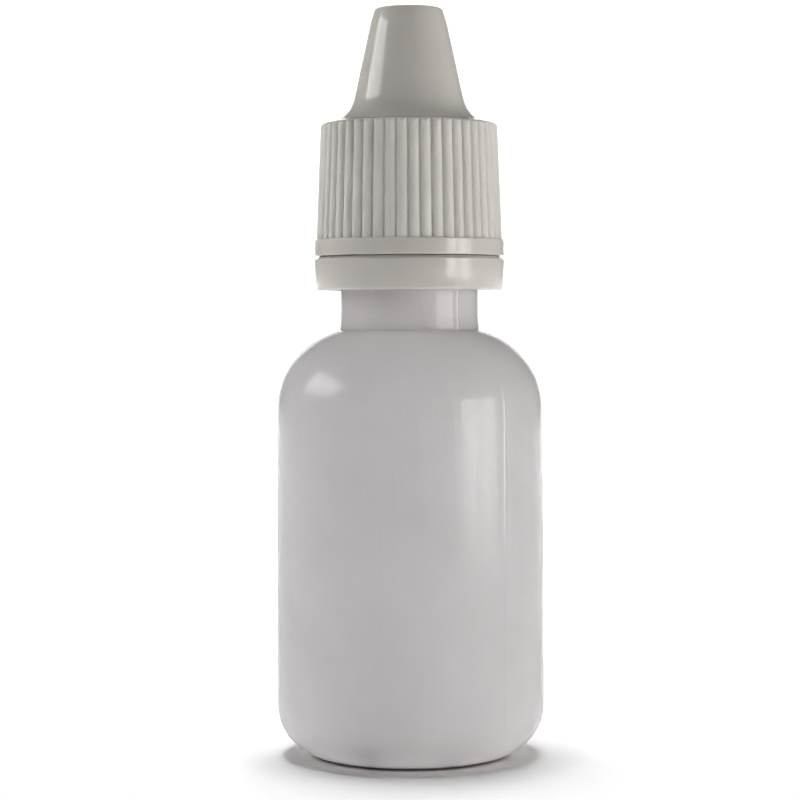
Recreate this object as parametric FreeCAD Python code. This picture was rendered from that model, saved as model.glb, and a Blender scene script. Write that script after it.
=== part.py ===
"""A 15 ml squeeze dropper bottle with a press-in dropper tip and a tamper-evident screw cap.

Frame: millimetres, +Z up along the bottle's axis, origin at the centre of the base, on the
surface that the bottle stands on. The cap is fully screwed down and its bridges are whole.
"""

import FreeCAD
import Part
import math
import os

# ---------------------------------------------------------------- driving dimensions, in mm
# edge radii that the moulds leave
CRISP_EDGE = 0.06
SOFT_EDGE = 0.12
ROUND_EDGE = 0.25
WIDE_EDGE = 0.40

# bottle
BODY_R = 12.75
BODY_WALL = 0.90
HEEL_RADIUS = 4.9
STAND_INNER_R = 6.9
STAND_EDGE = 0.6
PUSH_UP = 0.9
PUSH_UP_SLOPE_WIDTH = 1.6
PUSH_UP_EDGE = 1.5
SHOULDER_RADIUS = 7.95
SHOULDER_SLOPE_DEG = 14.5
NECK_R = 6.60
NECK_BOTTOM_Z = 40.75
BORE_R = 4.90
BORE_FOOT_RADIUS = 1.2
MOUTH_Z = 58.3

# bead on the neck that holds the tamper ring down
BEAD_R = 7.42
BEAD_BOTTOM_Z = 46.45
BEAD_TOP_Z = 46.85
BEAD_RAMP_END_Z = 48.0

# thread, right-handed, one start, trapezoid ridges
PITCH = 2.5
THREAD_TURNS = 2.0
THREAD_ROOT_HALF = 0.62
THREAD_CREST_HALF = 0.28
THREAD_BURIED = 0.12
THREAD_START_Z = 50.3
THREAD_CREST_R = 7.38
CAP_THREAD_DROP = 0.82
CAP_THREAD_CREST_R = 7.0

# tamper ring
RING_R = 9.16
RING_FOOT_R = 8.96
RING_BORE_R = 7.95
RING_BOTTOM_Z = 44.55
RING_TOP_Z = 47.55
RING_SHOULDER_DROP = 1.2
RING_SHOULDER_RADIUS = 2.5
RING_FOOT_EDGE = 0.35
LUG_COUNT = 8
LUG_R = 6.90
LUG_LEAN = 0.1
LUG_BOTTOM_Z = 45.00
LUG_TOP_Z = 46.20
LUG_GAP_WIDTH = 1.6

# V-shaped slit between ring and cap, and the bridges across its root
SLIT_ROOT_R = 8.35
SLIT_ROOT_HEIGHT = 0.15
SLIT_FLARE_UP = 0.15
SLIT_FLARE_DOWN = 0.10
BRIDGE_COUNT = 12
BRIDGE_WIDTH = 0.8
BRIDGE_MARGIN = 0.02

# cap, outside
CAP_BEAD_R = 9.12
CAP_BEAD_TOP_Z = 49.42
SKIRT_FOOT_R = 8.92
SKIRT_HEAD_R = 8.48
SKIRT_HEAD_Z = 60.50
SKIRT_HEAD_EDGE = 0.45
CAP_SHOULDER_RISE = 0.14
FLARE_RADIUS = 3.2
CONE_FOOT_R = 5.70
CONE_HEAD_R = 3.66
CONE_HEAD_Z = 70.3
CONE_HEAD_RADIUS = 5.0
CONE_TOP_R = 3.22
CONE_TOP_EDGE = 0.35
CAP_TOP_Z = 71.65

# cap, inside
CAP_BORE_FOOT_R = 7.75
CAP_BORE_HEAD_R = 7.60
CAP_CEILING_Z = 59.30
CONE_BORE_FOOT_R = 4.45
CONE_BORE_HEAD_R = 2.45
CONE_BORE_HEAD_Z = 70.55
PIN_R = 0.50
PIN_END_R = 0.34
PIN_END_Z = 68.45
PIN_TAPER = 0.9
PIN_BURIED = 0.2

# grip ribs round the cap's skirt: rounded lobes that meet in sharp valleys
RIB_COUNT = 48
RIB_VALLEY_DEPTH = 0.28
FIRST_VALLEY_DEG = -91.0
RIB_STOCK = 0.03
RIB_RUN_OUT = 0.5

# dropper tip
FLANGE_R = 6.40
FLANGE_HEIGHT = 0.90
PLUG_R = 4.80
PLUG_BOTTOM_Z = 51.2
PLUG_BORE_R = 4.0
SEAL_RIB_R = 4.95
SEAL_RIB_ZS = (53.0, 54.9, 56.8)
SEAL_RIB_HALF = 0.35
SEAL_RIB_BURIED = 0.2
NOZZLE_FOOT_R = 3.75
NOZZLE_FOOT_EDGE = 0.5
NOZZLE_HEAD_R = 1.70
NOZZLE_HEAD_EDGE = 0.35
NOZZLE_TOP_Z = 69.3
NOZZLE_BORE_FOOT_R = 2.95
NOZZLE_BORE_BEND = 1.5
NOZZLE_BORE_HEAD_R = 0.75
NOZZLE_BORE_HEAD_Z = 67.0
ORIFICE_R = 0.30
ORIFICE_FUNNEL = 0.3
RECESS_R = 0.95
RECESS_DEPTH = 1.1

ORIGIN = FreeCAD.Vector(0, 0, 0)
AXIS = FreeCAD.Vector(0, 0, 1)


# ---------------------------------------------------------------- helpers
def at(r, z):
    """A point of an outline, drawn in the XZ plane."""
    return FreeCAD.Vector(r, 0, z)


def rounded_outline(corners):
    """A closed wire through corners (r, z) or (r, z, radius), each radius rounding its corner."""
    starts, ends, tops = [], [], []
    for i, corner in enumerate(corners):
        here = at(corner[0], corner[1])
        before = at(*corners[i - 1][:2])
        after = at(*corners[(i + 1) % len(corners)][:2])
        if len(corner) == 2:
            starts.append(here)
            ends.append(here)
            tops.append(None)
            continue
        back = (before - here).normalize()
        onward = (after - here).normalize()
        half = back.getAngle(onward) / 2
        run = corner[2] / math.tan(half)
        inward = (back + onward).normalize()
        starts.append(here + back * run)
        ends.append(here + onward * run)
        tops.append(here + inward * (corner[2] / math.sin(half) - corner[2]))
    edges = []
    for i, top in enumerate(tops):
        if top is not None:
            edges.append(Part.Arc(starts[i], top, ends[i]).toShape())
        following = starts[(i + 1) % len(corners)]
        if not following.isEqual(ends[i], 1e-6):
            edges.append(Part.LineSegment(ends[i], following).toShape())
    return Part.Wire(edges)


def turned(corners):
    """The solid of revolution of a rounded outline about the bottle's axis."""
    return Part.Face(rounded_outline(corners)).revolve(ORIGIN, AXIS, 360)


def thread_ridge(root_r, crest_r, start_z):
    """A helical ridge of trapezoid section, from root_r to crest_r, starting on the +X side."""
    helix = Part.makeHelix(PITCH, PITCH * THREAD_TURNS, root_r)
    helix.translate(AXIS * start_z)
    section = [
        at(root_r, start_z - THREAD_ROOT_HALF),
        at(crest_r, start_z - THREAD_CREST_HALF),
        at(crest_r, start_z + THREAD_CREST_HALF),
        at(root_r, start_z + THREAD_ROOT_HALF),
    ]
    profile = Part.makePolygon(section + section[:1])
    return Part.Wire(helix.Edges).makePipeShell([profile], True, True)


def round_the_axis(shape, count, first_deg=0.0):
    """Copies of a shape, evenly spaced about the axis."""
    copies = []
    for i in range(count):
        copy = shape.copy()
        copy.rotate(ORIGIN, AXIS, first_deg + 360.0 * i / count)
        copies.append(copy)
    return copies


def one_solid(shape, name):
    """The single solid that a boolean left, refined and checked."""
    solids = shape.removeSplitter().Solids
    if len(solids) != 1 or not solids[0].isValid():
        raise RuntimeError(f"{name} came out as {len(solids)} solids")
    return solids[0]


# ---------------------------------------------------------------- sub-parts
def bottle():
    """Blow-moulded bottle: pushed-up base, straight body, round shoulder, beaded threaded neck."""
    slope = math.tan(math.radians(SHOULDER_SLOPE_DEG))
    half_turn = math.radians(90 - SHOULDER_SLOPE_DEG) / 2
    shoulder_z = NECK_BOTTOM_Z - (BODY_R - NECK_R) * slope
    inner_r = BODY_R - BODY_WALL
    inner_shoulder_z = shoulder_z - BODY_WALL * math.tan(half_turn)
    inner_neck_z = inner_shoulder_z + (inner_r - BORE_R) * slope
    dish_r = STAND_INNER_R - PUSH_UP_SLOPE_WIDTH
    outside = [
        (0, PUSH_UP),
        (dish_r, PUSH_UP, PUSH_UP_EDGE),
        (STAND_INNER_R, 0, STAND_EDGE),
        (BODY_R, 0, HEEL_RADIUS),
        (BODY_R, shoulder_z, SHOULDER_RADIUS),
        (NECK_R, NECK_BOTTOM_Z, ROUND_EDGE),
        (NECK_R, BEAD_BOTTOM_Z, SOFT_EDGE),
        (BEAD_R, BEAD_BOTTOM_Z, SOFT_EDGE),
        (BEAD_R, BEAD_TOP_Z, SOFT_EDGE),
        (NECK_R, BEAD_RAMP_END_Z, ROUND_EDGE),
        (NECK_R, MOUTH_Z, ROUND_EDGE),
    ]
    inside = [
        (BORE_R, MOUTH_Z, ROUND_EDGE),
        (BORE_R, inner_neck_z, BORE_FOOT_RADIUS),
        (inner_r, inner_shoulder_z, SHOULDER_RADIUS - BODY_WALL),
        (inner_r, BODY_WALL, HEEL_RADIUS - BODY_WALL),
        (STAND_INNER_R, BODY_WALL, STAND_EDGE),
        (dish_r, PUSH_UP + BODY_WALL, PUSH_UP_EDGE),
        (0, PUSH_UP + BODY_WALL),
    ]
    shell = turned(outside + inside)
    ridge = thread_ridge(NECK_R - THREAD_BURIED, THREAD_CREST_R, THREAD_START_Z)
    return one_solid(shell.fuse(ridge), "bottle")


def dropper_tip():
    """Press-in plug: sealing ribs, flange on the bottle's mouth, hollow nozzle with its orifice."""
    flange_top = MOUTH_Z + FLANGE_HEIGHT
    body = turned(
        [
            (ORIFICE_R, NOZZLE_TOP_Z - RECESS_DEPTH),
            (RECESS_R, NOZZLE_TOP_Z),
            (NOZZLE_HEAD_R, NOZZLE_TOP_Z, NOZZLE_HEAD_EDGE),
            (NOZZLE_FOOT_R, flange_top, NOZZLE_FOOT_EDGE),
            (FLANGE_R, flange_top, ROUND_EDGE),
            (FLANGE_R, MOUTH_Z),
            (PLUG_R, MOUTH_Z),
            (PLUG_R, PLUG_BOTTOM_Z, ROUND_EDGE),
            (PLUG_BORE_R, PLUG_BOTTOM_Z, ROUND_EDGE),
            (NOZZLE_BORE_FOOT_R, flange_top, NOZZLE_BORE_BEND),
            (NOZZLE_BORE_HEAD_R, NOZZLE_BORE_HEAD_Z, ROUND_EDGE),
            (ORIFICE_R, NOZZLE_BORE_HEAD_Z + ORIFICE_FUNNEL),
        ]
    )
    ribs = [
        turned(
            [
                (PLUG_R - SEAL_RIB_BURIED, z - SEAL_RIB_HALF),
                (PLUG_R, z - SEAL_RIB_HALF),
                (SEAL_RIB_R, z, ROUND_EDGE),
                (PLUG_R, z + SEAL_RIB_HALF),
                (PLUG_R - SEAL_RIB_BURIED, z + SEAL_RIB_HALF),
            ]
        )
        for z in SEAL_RIB_ZS
    ]
    return one_solid(body.fuse(ribs), "dropper_tip")


def lobed_outline(z):
    """A closed ring of convex arcs at height z, one arc to a rib, meeting in the valleys."""
    rise = SKIRT_HEAD_Z - CAP_BEAD_TOP_Z
    crest_r = SKIRT_FOOT_R + (SKIRT_HEAD_R - SKIRT_FOOT_R) * (z - CAP_BEAD_TOP_Z) / rise
    crest = at(crest_r, z)
    valley = at(crest_r - RIB_VALLEY_DEPTH, z)

    def turned_by(point, steps):
        angle = FIRST_VALLEY_DEG + 360.0 * steps / RIB_COUNT
        return FreeCAD.Rotation(AXIS, angle).multVec(point)

    arcs = []
    for i in range(RIB_COUNT):
        arc = Part.Arc(turned_by(valley, i), turned_by(crest, i + 0.5), turned_by(valley, i + 1))
        arcs.append(arc.toShape())
    return Part.Wire(arcs)


def rib_cutter():
    """A sleeve round the skirt, level with the bead's top, whose bore is the ribs' outline."""
    foot = lobed_outline(CAP_BEAD_TOP_Z - RIB_RUN_OUT)
    head = lobed_outline(SKIRT_HEAD_Z + RIB_RUN_OUT)
    ribs = Part.makeLoft([foot, head], True, True)
    height = SKIRT_HEAD_Z + RIB_RUN_OUT - CAP_BEAD_TOP_Z
    sleeve = Part.makeCylinder(CAP_BEAD_R + RIB_RUN_OUT, height, at(0, CAP_BEAD_TOP_Z))
    return sleeve.cut(ribs)


def screw_cap():
    """Cap with ribbed skirt, nozzle cover, sealing pin and internal thread."""
    underside_z = RING_TOP_Z + SLIT_ROOT_HEIGHT
    cone_foot_z = SKIRT_HEAD_Z + (SKIRT_HEAD_R - CONE_FOOT_R) * CAP_SHOULDER_RISE
    blank = turned(
        [
            (0, CONE_BORE_HEAD_Z),
            (0, CAP_TOP_Z),
            (CONE_TOP_R, CAP_TOP_Z, CONE_TOP_EDGE),
            (CONE_HEAD_R, CONE_HEAD_Z, CONE_HEAD_RADIUS),
            (CONE_FOOT_R, cone_foot_z, FLARE_RADIUS),
            (SKIRT_HEAD_R + RIB_STOCK, SKIRT_HEAD_Z, SKIRT_HEAD_EDGE),
            (SKIRT_FOOT_R + RIB_STOCK, CAP_BEAD_TOP_Z),
            (CAP_BEAD_R, CAP_BEAD_TOP_Z, CRISP_EDGE),
            (CAP_BEAD_R, underside_z + SLIT_FLARE_UP, SOFT_EDGE),
            (SLIT_ROOT_R, underside_z),
            (CAP_BORE_FOOT_R, underside_z, SOFT_EDGE),
            (CAP_BORE_HEAD_R, CAP_CEILING_Z, WIDE_EDGE),
            (CONE_BORE_FOOT_R, CAP_CEILING_Z, WIDE_EDGE),
            (CONE_BORE_HEAD_R, CONE_BORE_HEAD_Z, WIDE_EDGE),
        ]
    )
    pin = turned(
        [
            (0, PIN_END_Z),
            (PIN_END_R, PIN_END_Z, SOFT_EDGE),
            (PIN_R, PIN_END_Z + PIN_TAPER),
            (PIN_R, CONE_BORE_HEAD_Z + PIN_BURIED),
            (0, CONE_BORE_HEAD_Z + PIN_BURIED),
        ]
    )
    ridge = thread_ridge(
        CAP_BORE_FOOT_R + THREAD_BURIED, CAP_THREAD_CREST_R, THREAD_START_Z - CAP_THREAD_DROP
    )
    ribbed = blank.cut(rib_cutter())
    return one_solid(ribbed.fuse([pin, ridge]), "screw_cap")


def tamper_ring():
    """Ring that stays on the neck when the cap comes off; its lugs catch under the neck's bead."""
    ring = turned(
        [
            (RING_BORE_R, RING_TOP_Z, CRISP_EDGE),
            (RING_BORE_R, LUG_TOP_Z),
            (LUG_R, LUG_TOP_Z, SOFT_EDGE),
            (LUG_R + LUG_LEAN, LUG_BOTTOM_Z, SOFT_EDGE),
            (RING_BORE_R, RING_BOTTOM_Z),
            (RING_FOOT_R, RING_BOTTOM_Z, RING_FOOT_EDGE),
            (RING_R, RING_TOP_Z - RING_SHOULDER_DROP, RING_SHOULDER_RADIUS),
            (RING_R, RING_TOP_Z - SLIT_FLARE_DOWN, CRISP_EDGE),
            (SLIT_ROOT_R, RING_TOP_Z),
        ]
    )
    bore = Part.makeCylinder(RING_BORE_R, RING_TOP_Z)
    gap = Part.makeBox(RING_BORE_R, LUG_GAP_WIDTH, LUG_TOP_Z)
    gap.translate(FreeCAD.Vector(0, -LUG_GAP_WIDTH / 2, 0))
    gaps = round_the_axis(gap.common(bore), LUG_COUNT, 180.0 / LUG_COUNT)
    return one_solid(ring.cut(gaps), "tamper_ring")


def tamper_bridges():
    """Short webs across the root of the slit, which tear when the cap is first opened."""
    height = SLIT_ROOT_HEIGHT - BRIDGE_MARGIN
    depth = SLIT_ROOT_R - RING_BORE_R - 2 * BRIDGE_MARGIN
    web = Part.makeBox(depth, BRIDGE_WIDTH, height)
    web.translate(FreeCAD.Vector(RING_BORE_R + BRIDGE_MARGIN, -BRIDGE_WIDTH / 2, RING_TOP_Z))
    return Part.makeCompound(round_the_axis(web, BRIDGE_COUNT, 180.0 / BRIDGE_COUNT))


PARTS = {
    "bottle": bottle,
    "dropper_tip": dropper_tip,
    "screw_cap": screw_cap,
    "tamper_ring": tamper_ring,
    "tamper_bridges": tamper_bridges,
}

os.makedirs("parts", exist_ok=True)
for name, make in PARTS.items():
    shape = make()
    shape.exportStep(f"parts/{name}.step")
    box = shape.optimalBoundingBox(False, False)
    print(
        f"{name}: {len(shape.Solids)} solid(s), {shape.Volume:.1f} mm3, "
        f"r {box.XMax:.2f}, z {box.ZMin:.2f} to {box.ZMax:.2f}"
    )
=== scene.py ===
"""Looks of a 15 ml squeeze dropper bottle: a blow-moulded milky polyethylene bottle with a
moulded dropper tip, closed by a white ribbed screw cap that stands on its tamper ring.

Lengths named here are in millimetres and turned to metres by MM. The pieces take their places
from the CAD nodes that they stand for.
"""

import math

import bmesh
import bpy
from mathutils import Matrix, Vector


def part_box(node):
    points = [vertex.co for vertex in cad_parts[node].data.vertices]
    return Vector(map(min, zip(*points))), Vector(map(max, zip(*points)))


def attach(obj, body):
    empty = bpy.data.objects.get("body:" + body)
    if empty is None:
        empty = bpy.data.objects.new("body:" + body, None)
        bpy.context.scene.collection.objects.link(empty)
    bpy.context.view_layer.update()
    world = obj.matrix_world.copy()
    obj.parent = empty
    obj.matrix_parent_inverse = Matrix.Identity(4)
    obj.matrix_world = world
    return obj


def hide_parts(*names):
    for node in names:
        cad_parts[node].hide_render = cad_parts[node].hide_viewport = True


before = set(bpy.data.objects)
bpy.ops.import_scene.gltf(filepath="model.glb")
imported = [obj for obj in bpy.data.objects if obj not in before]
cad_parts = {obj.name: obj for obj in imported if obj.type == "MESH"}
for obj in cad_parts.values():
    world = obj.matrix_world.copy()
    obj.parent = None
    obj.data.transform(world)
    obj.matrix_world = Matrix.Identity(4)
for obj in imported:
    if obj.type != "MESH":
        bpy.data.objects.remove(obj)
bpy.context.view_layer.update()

MM = 0.001
bottle_low, bottle_high = (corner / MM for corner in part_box("bottle"))
tip_low, tip_high = (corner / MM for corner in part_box("dropper_tip"))
cap_low, cap_high = (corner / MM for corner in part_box("screw_cap"))
ring_low, ring_high = (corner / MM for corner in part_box("tamper_ring"))
bridges_low, bridges_high = (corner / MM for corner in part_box("tamper_bridges"))

# edge radii that the moulds leave
CRISP_EDGE = 0.06
SOFT_EDGE = 0.12
ROUND_EDGE = 0.25
WIDE_EDGE = 0.40
LONGEST_STEP = 1.6

# bottle
BODY_R = bottle_high.x
MOUTH_Z = bottle_high.z
WALL = 0.90
HEEL_RADIUS = 4.9
STAND_R = 6.9
PUSH_UP = 0.9
DISH_R = 5.3
SHOULDER_RADIUS = 7.95
SHOULDER_SLOPE = math.tan(math.radians(14.5))
NECK_R = 6.60
NECK_FOOT_Z = MOUTH_Z - 17.55
BORE_R = 4.90
NECK_BEAD_R = 7.42
NECK_BEAD_Z = MOUTH_Z - 11.85
NECK_BEAD_HEIGHT = 0.4
NECK_BEAD_RAMP = 1.55
NECK_FLARE = 0.12
NECK_FLARE_HEIGHT = 1.1
PARTING_DEG = (-46.4, 133.6)
PARTING_HEIGHT = 0.035
PARTING_HALF_WIDTH = 0.14

# screw thread, the same on neck and cap
PITCH = 2.5
THREAD_TURNS = 2.0
NECK_THREAD_Z = MOUTH_Z - 8.0
NECK_THREAD_R = 7.38
CAP_THREAD_Z = NECK_THREAD_Z - 0.82
CAP_THREAD_R = 7.0

# dropper tip
PLUG_R = 4.80
FLANGE_THICKNESS = 0.9
SEALING_RIBS_Z = (56.8, 54.9, 53.0)

# cap
CAP_FOOT_Z = cap_low.z
CAP_TOP_Z = cap_high.z
CAP_BEAD_R = cap_high.x
CAP_BEAD_TOP_Z = CAP_FOOT_Z + 1.72
SKIRT_FOOT_R = CAP_BEAD_R - 0.20
SKIRT_HEAD_R = CAP_BEAD_R - 0.64
SKIRT_HEAD_Z = CAP_TOP_Z - 11.15
CONE_FOOT_R = 5.70
CAP_BORE_R = 7.70
RIBS = 48
RIB_VALLEY = 0.28
FIRST_VALLEY = math.radians(-91.0)
COLUMNS_PER_RIB = 14

# tamper ring
RING_R = ring_high.x
RING_BORE_R = 7.95
LUGS = 8
LUG_R = 6.90
LUG_GAP = 1.6
LUG_DROP = 1.35
SLIT_ROOT_R = 8.66


# ---------------------------------------------------------------- outlines
def rounded(corners, arc_steps=8):
    """Points through corners (r, z) or (r, z, radius), each radius rounding its corner."""
    points = []
    for i, corner in enumerate(corners):
        here = Vector(corner[:2])
        if len(corner) == 2:
            points.append(tuple(here))
            continue
        back = (Vector(corners[i - 1][:2]) - here).normalized()
        onward = (Vector(corners[(i + 1) % len(corners)][:2]) - here).normalized()
        half = back.angle(onward) / 2
        centre = here + (back + onward).normalized() * (corner[2] / math.sin(half))
        start = here + back * (corner[2] / math.tan(half)) - centre
        end = here + onward * (corner[2] / math.tan(half)) - centre
        turn = start.angle_signed(end)
        for k in range(arc_steps + 1):
            angle = -turn * k / arc_steps
            spun = Matrix.Rotation(angle, 2) @ start
            points.append(tuple(centre + spun))
    return points


def filled_in(points, longest):
    """The same outline with long straight runs cut into steps no longer than longest."""
    dense = []
    for i, here in enumerate(points):
        after = points[(i + 1) % len(points)]
        steps = max(1, math.ceil(math.dist(here, after) / longest))
        if here[0] < 1e-6 and after[0] < 1e-6:
            steps = 1
        for k in range(steps):
            share = k / steps
            dense.append(
                (here[0] + (after[0] - here[0]) * share, here[1] + (after[1] - here[1]) * share)
            )
    return dense


def evenly(count, first=0.0):
    """Angles evenly spaced round the axis."""
    return [first + 2 * math.pi * i / count for i in range(count)]


def turn_outline(bm, outline, angles, shape=None):
    """Turns a closed outline about the axis. shape(angle, r, z) may move a point in or out."""
    circles = []
    for r, z in outline:
        if r < 1e-6:
            circles.append([bm.verts.new((0, 0, z * MM))] * len(angles))
            continue
        circle = []
        for angle in angles:
            reach = (shape(angle, r, z) if shape else r) * MM
            circle.append(bm.verts.new((reach * math.cos(angle), reach * math.sin(angle), z * MM)))
        circles.append(circle)
    for k, lower in enumerate(circles):
        upper = circles[(k + 1) % len(circles)]
        for i in range(len(angles)):
            j = (i + 1) % len(angles)
            corners = list(dict.fromkeys([lower[i], lower[j], upper[j], upper[i]]))
            if len(corners) > 2:
                bm.faces.new(corners)


def sweep_thread(bm, root_r, crest_r, start_z, steps_per_turn=72):
    """A helical ridge with rounded flanks that rises from nothing and runs out again."""
    steps = round(THREAD_TURNS * steps_per_turn)
    run_out = steps_per_turn // 12
    section = [(0, -0.62), (0.75, -0.36), (1, -0.24), (1, 0.24), (0.75, 0.36), (0, 0.62)]
    loops = []
    for i in range(steps + 1):
        full = min(1, (i + 0.5) / run_out, (steps - i + 0.5) / run_out)
        angle = 2 * math.pi * i / steps_per_turn
        loop = []
        for out, up in section:
            r = (root_r + (crest_r - root_r) * out * full) * MM
            z = (start_z + PITCH * i / steps_per_turn + up * (0.5 + 0.5 * full)) * MM
            loop.append(bm.verts.new((r * math.cos(angle), r * math.sin(angle), z)))
        loops.append(loop)
    for lower, upper in zip(loops, loops[1:]):
        for i in range(len(section)):
            j = (i + 1) % len(section)
            bm.faces.new([lower[i], lower[j], upper[j], upper[i]])
    bm.faces.new(loops[0])
    bm.faces.new(loops[-1])


def make_piece(name, bm, body, node, materials, which=None, sharp_deg=32):
    """A finished mesh that stands for a CAD node and moves with its body."""
    bmesh.ops.recalc_face_normals(bm, faces=bm.faces)
    for face in bm.faces:
        face.smooth = True
        if which:
            face.material_index = which(face.calc_center_median() / MM)
    mesh = bpy.data.meshes.new(name)
    bm.to_mesh(mesh)
    bm.free()
    mesh.set_sharp_from_angle(angle=math.radians(sharp_deg))
    for material in materials:
        mesh.materials.append(material)
    piece = bpy.data.objects.new(name, mesh)
    bpy.context.scene.collection.objects.link(piece)
    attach(piece, body)
    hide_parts(node)
    return piece


# ---------------------------------------------------------------- materials
def linear(hex_code):
    """Linear RGBA of an sRGB colour written as six hex digits."""
    shares = [int(hex_code[i : i + 2], 16) / 255 for i in (0, 2, 4)]
    return [s / 12.92 if s <= 0.04045 else ((s + 0.055) / 1.055) ** 2.4 for s in shares] + [1.0]


def add_node(tree, kind, settings=None, values=None, links=None):
    """Adds a shader node, sets its settings and socket values, and links {socket: (node, out)}."""
    node = tree.nodes.new("ShaderNode" + kind)
    for name, value in (settings or {}).items():
        setattr(node, name, value)
    for name, value in (values or {}).items():
        node.inputs[name].default_value = value
    for name, (source, output) in (links or {}).items():
        tree.links.new(source.outputs[output], node.inputs[name])
    return node


def moulded_plastic(name, light, dark, mottle_mm, finish, grain, streaks=None, **shader_values):
    """A plastic whose colour drifts over mottle_mm, with grain=(size, depth) left by its mould.

    finish is (least, most) roughness over the same grain; streaks=(width, length, depth) are
    drawn lines that run along the axis.
    """
    material = bpy.data.materials.new(name)
    material.use_nodes = True
    tree = material.node_tree
    tree.nodes.clear()
    place = add_node(tree, "TexCoord")

    def spread(size, scale, detail=3.0):
        stretched = add_node(
            tree,
            "Mapping",
            values={"Scale": [1 / (s * MM) for s in size]},
            links={"Vector": (place, "Object")},
        )
        return add_node(
            tree,
            "TexNoise",
            values={"Scale": scale, "Detail": detail, "Roughness": 0.55},
            links={"Vector": (stretched, "Vector")},
        )

    drift = spread([mottle_mm] * 3, 1.0)
    colour = add_node(tree, "ValToRGB", links={"Fac": (drift, "Fac")})
    colour.color_ramp.elements[0].position = 0.35
    colour.color_ramp.elements[0].color = linear(dark)
    colour.color_ramp.elements[1].position = 0.65
    colour.color_ramp.elements[1].color = linear(light)
    size, depth = grain
    pits = spread([size] * 3, 1.0, detail=1.0)
    rough = add_node(
        tree,
        "MapRange",
        values={"From Min": 0.3, "From Max": 0.7, "To Min": finish[0], "To Max": finish[1]},
        links={"Value": (pits, "Fac")},
    )
    relief = add_node(
        tree,
        "Bump",
        values={"Strength": 1.0, "Distance": depth * MM},
        links={"Height": (pits, "Fac")},
    )
    if streaks:
        width, length, drawn = streaks
        lines = spread([width, width, length], 1.0, detail=2.0)
        relief = add_node(
            tree,
            "Bump",
            values={"Strength": 1.0, "Distance": drawn * MM},
            links={"Height": (lines, "Fac"), "Normal": (relief, "Normal")},
        )
    shader = add_node(
        tree,
        "BsdfPrincipled",
        values=shader_values_by_name(shader_values),
        links={
            "Base Color": (colour, "Color"),
            "Roughness": (rough, "Result"),
            "Normal": (relief, "Normal"),
        },
    )
    add_node(tree, "OutputMaterial", links={"Surface": (shader, "BSDF")})
    return material


def shader_values_by_name(values):
    """Socket names such as "Subsurface Weight" from keywords such as subsurface_weight."""
    named = {}
    for key, value in values.items():
        words = [word if word == "IOR" else word.capitalize() for word in key.split("_")]
        named[" ".join(words)] = value
    return named


# Natural low-density polyethylene, blow-moulded against a finely blasted mould: no pigment, so
# light soaks through the whole wall and the bottle looks evenly milky, with a soft satin sheen
# broken by fine lines that the parison keeps from the die it was drawn through.
bottle_ldpe = moulded_plastic(
    "natural_ldpe_blown",
    light="D5D0D0",
    dark="D0CBCB",
    mottle_mm=9.0,
    finish=(0.13, 0.18),
    grain=(0.28, 0.0050),
    streaks=(0.34, 20.0, 0.017),
    IOR=1.51,
    specular_IOR_level=0.36,
    subsurface_weight=1.0,
    subsurface_radius=(1.0, 0.95, 0.9),
    subsurface_scale=0.0035,
)

# The same resin injection-moulded in a polished tool: glossier, and thin enough to glow.
tip_ldpe = moulded_plastic(
    "natural_ldpe_moulded",
    light="DAD8D7",
    dark="D5D3D2",
    mottle_mm=6.0,
    finish=(0.18, 0.24),
    grain=(0.5, 0.004),
    IOR=1.51,
    subsurface_weight=1.0,
    subsurface_radius=(1.0, 0.95, 0.9),
    subsurface_scale=0.0018,
)

# White-pigmented polypropylene against a polished steel face: opaque warm white with a clear,
# slightly wavy gloss that catches a window as a crisp patch.
cap_polished = moulded_plastic(
    "white_polypropylene_polished",
    light="C8C4BE",
    dark="C4C0BA",
    mottle_mm=7.0,
    finish=(0.07, 0.12),
    grain=(0.9, 0.005),
    IOR=1.49,
    subsurface_weight=0.8,
    subsurface_radius=(1.0, 0.9, 0.8),
    subsurface_scale=0.0012,
)

# The same polypropylene where the tool was spark-eroded between the ribs: matt, with a fine
# sparkle. The real pits are about 0.05 mm; they are drawn 0.24 mm wide so that they still show.
cap_eroded = moulded_plastic(
    "white_polypropylene_eroded",
    light="CCC9C3",
    dark="C6C3BD",
    mottle_mm=4.0,
    finish=(0.38, 0.60),
    grain=(0.24, 0.055),
    IOR=1.49,
    subsurface_weight=0.25,
    subsurface_radius=(1.0, 0.9, 0.8),
    subsurface_scale=0.0006,
)


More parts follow.
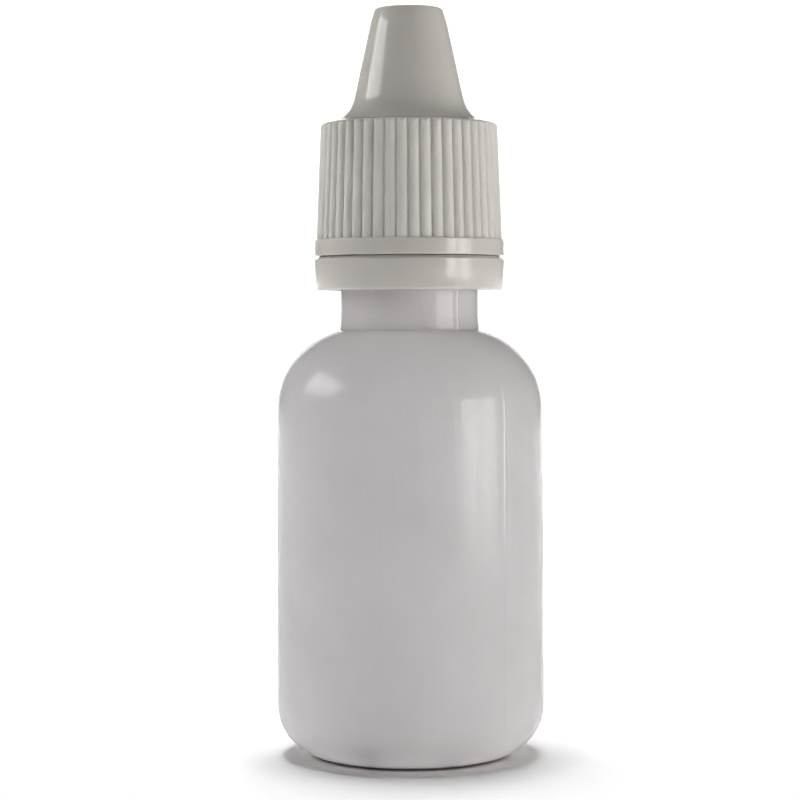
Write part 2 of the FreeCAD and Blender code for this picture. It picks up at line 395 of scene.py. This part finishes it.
# ---------------------------------------------------------------- pieces
def build_bottle():
    """Pushed-up base with its pinch-off, straight body, round shoulder, beaded threaded neck."""
    half_turn = math.atan(1 / SHOULDER_SLOPE) / 2
    shoulder_z = NECK_FOOT_Z - (BODY_R - NECK_R) * SHOULDER_SLOPE
    inner_r = BODY_R - WALL
    inner_shoulder_z = shoulder_z - WALL * math.tan(half_turn)
    inner_neck_z = inner_shoulder_z + (inner_r - BORE_R) * SHOULDER_SLOPE
    outline = rounded(
        [
            (0, PUSH_UP),
            (DISH_R, PUSH_UP, 1.5),
            (STAND_R, 0, 0.6),
            (BODY_R, 0, HEEL_RADIUS),
            (BODY_R, shoulder_z, SHOULDER_RADIUS),
            (NECK_R + NECK_FLARE, NECK_FOOT_Z, 0.15),
            (NECK_R, NECK_FOOT_Z + NECK_FLARE_HEIGHT, 2.0),
            (NECK_R, NECK_BEAD_Z, SOFT_EDGE),
            (NECK_BEAD_R, NECK_BEAD_Z, SOFT_EDGE),
            (NECK_BEAD_R, NECK_BEAD_Z + NECK_BEAD_HEIGHT, SOFT_EDGE),
            (NECK_R, NECK_BEAD_Z + NECK_BEAD_RAMP, ROUND_EDGE),
            (NECK_R, MOUTH_Z, ROUND_EDGE),
            (BORE_R, MOUTH_Z, ROUND_EDGE),
            (BORE_R, inner_neck_z, 1.2),
            (inner_r, inner_shoulder_z, SHOULDER_RADIUS - WALL),
            (inner_r, WALL, HEEL_RADIUS - WALL),
            (STAND_R, WALL, 0.6),
            (DISH_R, PUSH_UP + WALL, 1.5),
            (0, PUSH_UP + WALL),
        ],
        arc_steps=10,
    )
    outline = filled_in(outline, LONGEST_STEP)
    partings = [math.radians(deg) for deg in PARTING_DEG]
    finer = [math.radians(d) for d in (-1.2, -0.6, -0.3, 0, 0.3, 0.6, 1.2)]
    angles = evenly(192) + [parting + step for parting in partings for step in finer]
    angles = sorted({round(angle % (2 * math.pi), 5) for angle in angles})

    def parted(angle, r, z):
        """A fine raised line where the mould's halves met, on the outside only."""
        outside = r > inner_r + 0.5 * WALL or (z > NECK_FOOT_Z and r > 0.5 * (NECK_R + BORE_R))
        if not outside or not 2.5 < z < MOUTH_Z - 0.6:
            return r
        off = min(abs((angle - p + math.pi) % (2 * math.pi) - math.pi) for p in partings) * r
        return r + PARTING_HEIGHT * max(0.0, 1 - (off / PARTING_HALF_WIDTH) ** 2)

    bm = bmesh.new()
    turn_outline(bm, outline, angles, parted)
    sweep_thread(bm, NECK_R - 0.12, NECK_THREAD_R, NECK_THREAD_Z)
    pinch_off(bm)
    return make_piece("bottle_blown", bm, "bottle", "bottle", [bottle_ldpe])


def pinch_off(bm):
    """The low welded seam across the base, where the mould closed on the end of the parison."""
    heading = math.radians(PARTING_DEG[0])
    along = Vector((math.cos(heading), math.sin(heading), 0))
    across = Vector((-along.y, along.x, 0))
    half_length, half_width, depth, steps = 4.2, 0.28, 0.30, 24
    loops = []
    for i in range(steps + 1):
        share = 2 * i / steps - 1
        swell = max(0.02, 1 - share**4)
        middle = along * (half_length * share)
        loop = []
        for side, drop in ((-1, -0.1), (-0.55, 0.7), (0, 1), (0.55, 0.7), (1, -0.1)):
            point = middle + across * (side * half_width * (0.4 + 0.6 * swell))
            point.z = PUSH_UP - drop * depth * swell
            loop.append(bm.verts.new(point * MM))
        loops.append(loop)
    for lower, upper in zip(loops, loops[1:]):
        for i in range(4):
            bm.faces.new([lower[i], lower[i + 1], upper[i + 1], upper[i]])
        bm.faces.new([lower[4], lower[0], upper[0], upper[4]])
    bm.faces.new(loops[0])
    bm.faces.new(loops[-1])


def build_dropper_tip():
    """Press-in plug with three sealing ribs, a flange on the mouth and a hollow nozzle."""
    flange_r = tip_high.x
    flange_z = MOUTH_Z + FLANGE_THICKNESS
    top = tip_high.z
    sealing = []
    for z in SEALING_RIBS_Z:
        sealing += [(PLUG_R, z + 0.35), (BORE_R - 0.02, z, 0.2), (PLUG_R, z - 0.35)]
    outline = rounded(
        [
            (0.30, top - 1.1),
            (0.95, top, SOFT_EDGE),
            (1.70, top, 0.35),
            (3.75, flange_z, 0.5),
            (flange_r, flange_z, ROUND_EDGE),
            (flange_r, MOUTH_Z),
            (PLUG_R, MOUTH_Z),
            *sealing,
            (PLUG_R, tip_low.z, ROUND_EDGE),
            (4.0, tip_low.z, ROUND_EDGE),
            (2.95, flange_z, 1.5),
            (0.75, top - 2.3, ROUND_EDGE),
            (0.30, top - 2.0),
        ]
    )
    bm = bmesh.new()
    turn_outline(bm, filled_in(outline, LONGEST_STEP), evenly(120))
    return make_piece("dropper_tip_moulded", bm, "bottle", "dropper_tip", [tip_ldpe])


def lobe_radius(angle, z):
    """How far out the ribs' outline lies: convex arcs that meet in the valleys."""
    share = (z - CAP_BEAD_TOP_Z) / (SKIRT_HEAD_Z - CAP_BEAD_TOP_Z)
    crest = SKIRT_FOOT_R + (SKIRT_HEAD_R - SKIRT_FOOT_R) * share
    valley = crest - RIB_VALLEY
    half_step = math.pi / RIBS
    sag = crest - valley * math.cos(half_step)
    half_chord = valley * math.sin(half_step)
    arc_r = (sag * sag + half_chord * half_chord) / (2 * sag)
    centre_r = crest - arc_r
    off = (angle - FIRST_VALLEY) % (2 * half_step) - half_step
    return centre_r * math.cos(off) + math.sqrt(arc_r**2 - (centre_r * math.sin(off)) ** 2)


def build_screw_cap():
    """Ribbed skirt on a bead, nozzle cover, inside thread and the pin that closes the orifice."""
    cone_foot_z = SKIRT_HEAD_Z + (SKIRT_HEAD_R - CONE_FOOT_R) * 0.14
    ceiling_z = CAP_TOP_Z - 12.35
    cone_ceiling_z = CAP_TOP_Z - 1.10
    pin_end_z = CAP_TOP_Z - 3.20
    outline = rounded(
        [
            (0, pin_end_z),
            (0.34, pin_end_z, SOFT_EDGE),
            (0.50, pin_end_z + 0.9),
            (0.50, cone_ceiling_z, 0.15),
            (2.45, cone_ceiling_z, WIDE_EDGE),
            (4.45, ceiling_z, WIDE_EDGE),
            (CAP_BORE_R - 0.10, ceiling_z, WIDE_EDGE),
            (CAP_BORE_R + 0.05, CAP_FOOT_Z, SOFT_EDGE),
            (SLIT_ROOT_R, CAP_FOOT_Z + 0.10),
            (CAP_BEAD_R, CAP_FOOT_Z + 0.14, 0.10),
            (CAP_BEAD_R, CAP_BEAD_TOP_Z, 0.18),
            (SKIRT_FOOT_R + 0.03, CAP_BEAD_TOP_Z),
            (SKIRT_HEAD_R + 0.03, SKIRT_HEAD_Z, 0.45),
            (CONE_FOOT_R, cone_foot_z, 3.2),
            (3.66, CAP_TOP_Z - 1.35, 5.0),
            (3.22, CAP_TOP_Z, 0.35),
            (0, CAP_TOP_Z),
        ],
        arc_steps=10,
    )

    def ribbed(angle, r, z):
        on_skirt = CAP_BEAD_TOP_Z - 1e-4 < z < SKIRT_HEAD_Z + 0.1
        if on_skirt and SKIRT_HEAD_R - 0.5 < r < SKIRT_FOOT_R + 0.04:
            return min(r, lobe_radius(angle, z))
        return r

    def finish_of(centre):
        """The eroded finish covers the ribs; everything else was polished."""
        outside = math.hypot(centre.x, centre.y) > SKIRT_HEAD_R - 0.45
        return int(outside and CAP_BEAD_TOP_Z + 0.02 < centre.z < SKIRT_HEAD_Z + 0.05)

    bm = bmesh.new()
    angles = evenly(RIBS * COLUMNS_PER_RIB, FIRST_VALLEY)
    turn_outline(bm, filled_in(outline, LONGEST_STEP), angles, ribbed)
    sweep_thread(bm, CAP_BORE_R + 0.17, CAP_THREAD_R, CAP_THREAD_Z)
    finishes = [cap_polished, cap_eroded]
    return make_piece(
        "screw_cap_moulded", bm, "cap", "screw_cap", finishes, finish_of
    )


def build_tamper_ring():
    """Band round the neck; its eight lugs catch under the neck's bead.

    A blade parts it from the cap, so the lip at the root of the slit all but touches the cap.
    """
    top, foot = ring_high.z, ring_low.z
    outline = rounded(
        [
            (RING_BORE_R, CAP_FOOT_Z - 0.03, 0.03),
            (RING_BORE_R, top - LUG_DROP),
            (LUG_R, top - LUG_DROP, SOFT_EDGE),
            (LUG_R + 0.1, foot + 0.45, SOFT_EDGE),
            (RING_BORE_R, foot),
            (RING_R - 0.20, foot, 0.22),
            (RING_R - 0.02, top - 1.0, 4.0),
            (RING_R, top - 0.10, CRISP_EDGE),
            (SLIT_ROOT_R, CAP_FOOT_Z + 0.06),
        ],
        arc_steps=6,
    )

    def lugged(angle, r, z):
        """Between two lugs the inside stays at the bore."""
        if r >= RING_BORE_R:
            return r
        step = 2 * math.pi / LUGS
        from_gap = abs((angle % step) - step / 2) * LUG_R
        return RING_BORE_R - 0.001 if from_gap < LUG_GAP / 2 else r

    bm = bmesh.new()
    turn_outline(bm, outline, evenly(256), lugged)
    return make_piece(
        "tamper_ring_moulded", bm, "ring", "tamper_ring", [cap_polished]
    )


def build_tamper_bridges():
    """Twelve waisted webs across the root of the slit."""
    bm = bmesh.new()
    inner_r, outer_r = RING_BORE_R + 0.02, bridges_high.x
    for angle in evenly(12, math.pi / 12):
        spin = Matrix.Rotation(angle, 3, "Z")
        loops = []
        for share in (0, 0.25, 0.5, 0.75, 1):
            half = 0.4 * (1 - 0.35 * math.sin(math.pi * share))
            r = inner_r + (outer_r - inner_r) * share
            foot, head = bridges_low.z, bridges_high.z
            corners = ((-half, foot), (half, foot), (half, head), (-half, head))
            loops.append([bm.verts.new(spin @ Vector((r, y, z)) * MM) for y, z in corners])
        for lower, upper in zip(loops, loops[1:]):
            for i in range(4):
                j = (i + 1) % 4
                bm.faces.new([lower[i], lower[j], upper[j], upper[i]])
        bm.faces.new(loops[0])
        bm.faces.new(loops[-1])
    return make_piece(
        "tamper_bridges_moulded", bm, "ring", "tamper_bridges", [cap_polished]
    )


milky = [build_bottle(), build_dropper_tip()]
closure = [build_screw_cap(), build_tamper_ring(), build_tamper_bridges()]


# ---------------------------------------------------------------- studio
EYE_HEIGHT = 0.042


def build_sweep():
    """A pale paper sweep: flat under the bottle, curving up behind it."""
    half_width, near, bend, radius, height = 0.6, -0.7, 1.5, 0.3, 0.3
    profile = [(near + (bend - near) * i / 12, 0.0) for i in range(13)]
    profile += [
        (bend + radius * math.sin(a), radius * (1 - math.cos(a)))
        for a in (math.pi / 2 * k / 12 for k in range(1, 13))
    ]
    profile += [(bend + radius, radius + height * i / 4) for i in range(1, 5)]
    bm = bmesh.new()
    rows = []
    for y, z in profile:
        rows.append([bm.verts.new((half_width * (i / 8 - 1), y, z)) for i in range(17)])
    for lower, upper in zip(rows, rows[1:]):
        for i in range(16):
            bm.faces.new([lower[i], lower[i + 1], upper[i + 1], upper[i]])
    for face in bm.faces:
        face.smooth = True
    mesh = bpy.data.meshes.new("paper_sweep")
    bm.to_mesh(mesh)
    bm.free()
    paper = bpy.data.materials.new("matt_white_paper")
    paper.use_nodes = True
    tree = paper.node_tree
    place = add_node(tree, "TexCoord")
    fibres = add_node(
        tree,
        "TexNoise",
        values={"Scale": 900.0, "Detail": 2.0},
        links={"Vector": (place, "Object")},
    )
    relief = add_node(
        tree,
        "Bump",
        values={"Strength": 0.4, "Distance": 0.03 * MM},
        links={"Height": (fibres, "Fac")},
    )
    shader = tree.nodes["Principled BSDF"]
    shader.inputs["Base Color"].default_value = linear("F4F4F4")
    shader.inputs["Roughness"].default_value = 0.9
    shader.inputs["Specular IOR Level"].default_value = 0.2
    tree.links.new(relief.outputs["Normal"], shader.inputs["Normal"])
    mesh.materials.append(paper)
    sweep = bpy.data.objects.new("paper_sweep", mesh)
    bpy.context.scene.collection.objects.link(sweep)
    return sweep


def soft_light(name, where, aim, size, radiance, colour="FFFFFF", only_for=None, gloss=True):
    """A rectangular panel at where (metres) facing aim, giving the same radiance at any size.

    only_for limits it to some pieces, and gloss says whether it shows as a highlight.
    """
    lamp = bpy.data.lights.new(name, "AREA")
    lamp.shape = "RECTANGLE"
    lamp.size, lamp.size_y = size
    lamp.energy = radiance * math.pi * size[0] * size[1]
    lamp.color = linear(colour)[:3]
    panel = bpy.data.objects.new(name, lamp)
    panel.location = where
    panel.rotation_euler = (Vector(aim) - Vector(where)).to_track_quat("-Z", "Y").to_euler()
    panel.visible_glossy = gloss
    panel.light_linking.receiver_collection = only_for
    bpy.context.scene.collection.objects.link(panel)
    return panel


def around(azimuth_deg, elevation_deg, distance, height=EYE_HEIGHT):
    """A place seen from the bottle: azimuth from the camera's side towards +X, and elevation."""
    azimuth, elevation = math.radians(azimuth_deg), math.radians(elevation_deg)
    flat = distance * math.cos(elevation)
    rise = height + distance * math.sin(elevation)
    return (flat * math.sin(azimuth), -flat * math.cos(azimuth), rise)


def group(name, members):
    """A collection that a lamp can be limited to."""
    chosen = bpy.data.collections.new(name)
    for member in members:
        chosen.objects.link(member)
    return chosen


sweep = build_sweep()
middle = (0, 0, EYE_HEIGHT)
# who each lamp is for
paper_only = group("paper_only", [sweep])
whole = group("whole_bottle", milky + closure)
closure_only = group("closure_only", closure)
milky_only = group("milky_only", milky)

# the paper has its own lamps: one close overhead, a little behind, whose shadow keeps near to
# the base, and one that washes the far end
for name, where, aim, size, radiance in (
    ("overhead_for_paper", (-0.03, 0.12, 1.2), (0, 0, 0), (0.4, 0.4), 25.0),
    ("wash_for_background", (0, 0.9, 1.1), (0, 1.8, 0.2), (1.2, 0.8), 7.0),
):
    soft_light(name, where, aim, size, radiance, only_for=paper_only)

# a window to the right of the camera with upright blinds, which reach down to the table
BLINDS = 7
for i in range(BLINDS):
    share = i / (BLINDS - 1)
    soft_light(
        f"window_slat_{i + 1}",
        around(45 + 31 * share, 2, 0.22),
        middle,
        (0.008 + 0.005 * ((i * 5) % 3), 0.092),
        7.0,
        "FFFDFA",
        only_for=whole,
    )
# a higher light on the left
soft_light("left_light", around(-89, 25, 0.5), middle, (0.32, 0.16), 4.6, only_for=whole)
# fills without highlights: the walls beside the opaque closure, the ceiling over the milky bottle
for name, azimuth, elevation, size, radiance, pieces in (
    ("right_fill", 86, 6, (0.3, 0.3), 2.3, closure_only),
    ("left_fill", -112, 25, (0.3, 0.3), 3.0, closure_only),
    ("ceiling_fill", -20, 54, (0.4, 0.3), 1.9, milky_only),
):
    where = around(azimuth, elevation, 0.5)
    soft_light(name, where, middle, size, radiance, only_for=pieces, gloss=False)

# a ring of faint lamps stands for the light that the paper throws up under the milky heel
BOUNCE_LAMPS = 8
BOUNCE_R = 0.0105
for i in range(BOUNCE_LAMPS):
    turn = 360 / BOUNCE_LAMPS * i
    soft_light(
        f"paper_bounce_{i + 1}",
        around(turn, 0, BOUNCE_R, 0.0003),
        around(turn, 0, BOUNCE_R, 1),
        (0.007, 0.007),
        0.40,
        only_for=milky_only,
        gloss=False,
    )

world = bpy.data.worlds.new("room")
bpy.context.scene.world = world
world.use_nodes = True
background = world.node_tree.nodes["Background"]
background.inputs["Color"].default_value = linear("F7F7F7")
background.inputs["Strength"].default_value = 0.20
bpy.context.scene.view_settings.view_transform = "Standard"
# light crosses the milky wall many times before it leaves
bpy.context.scene.cycles.max_bounces = 24
bpy.context.scene.cycles.diffuse_bounces = 12
# every lamp is sampled alike, so the small ones under the heel do not change what the rest give
bpy.context.scene.cycles.use_light_tree = False

lens = bpy.data.cameras.new("camera")
lens.lens = 108
lens.sensor_width = 36
lens.shift_x = -0.012
lens.shift_y = -0.104
lens.clip_start = 0.01
camera = bpy.data.objects.new("camera", lens)
camera.location = (0, -0.231, EYE_HEIGHT)
camera.rotation_euler = (math.radians(90), math.radians(0.18), 0)
bpy.context.scene.collection.objects.link(camera)
bpy.context.scene.camera = camera
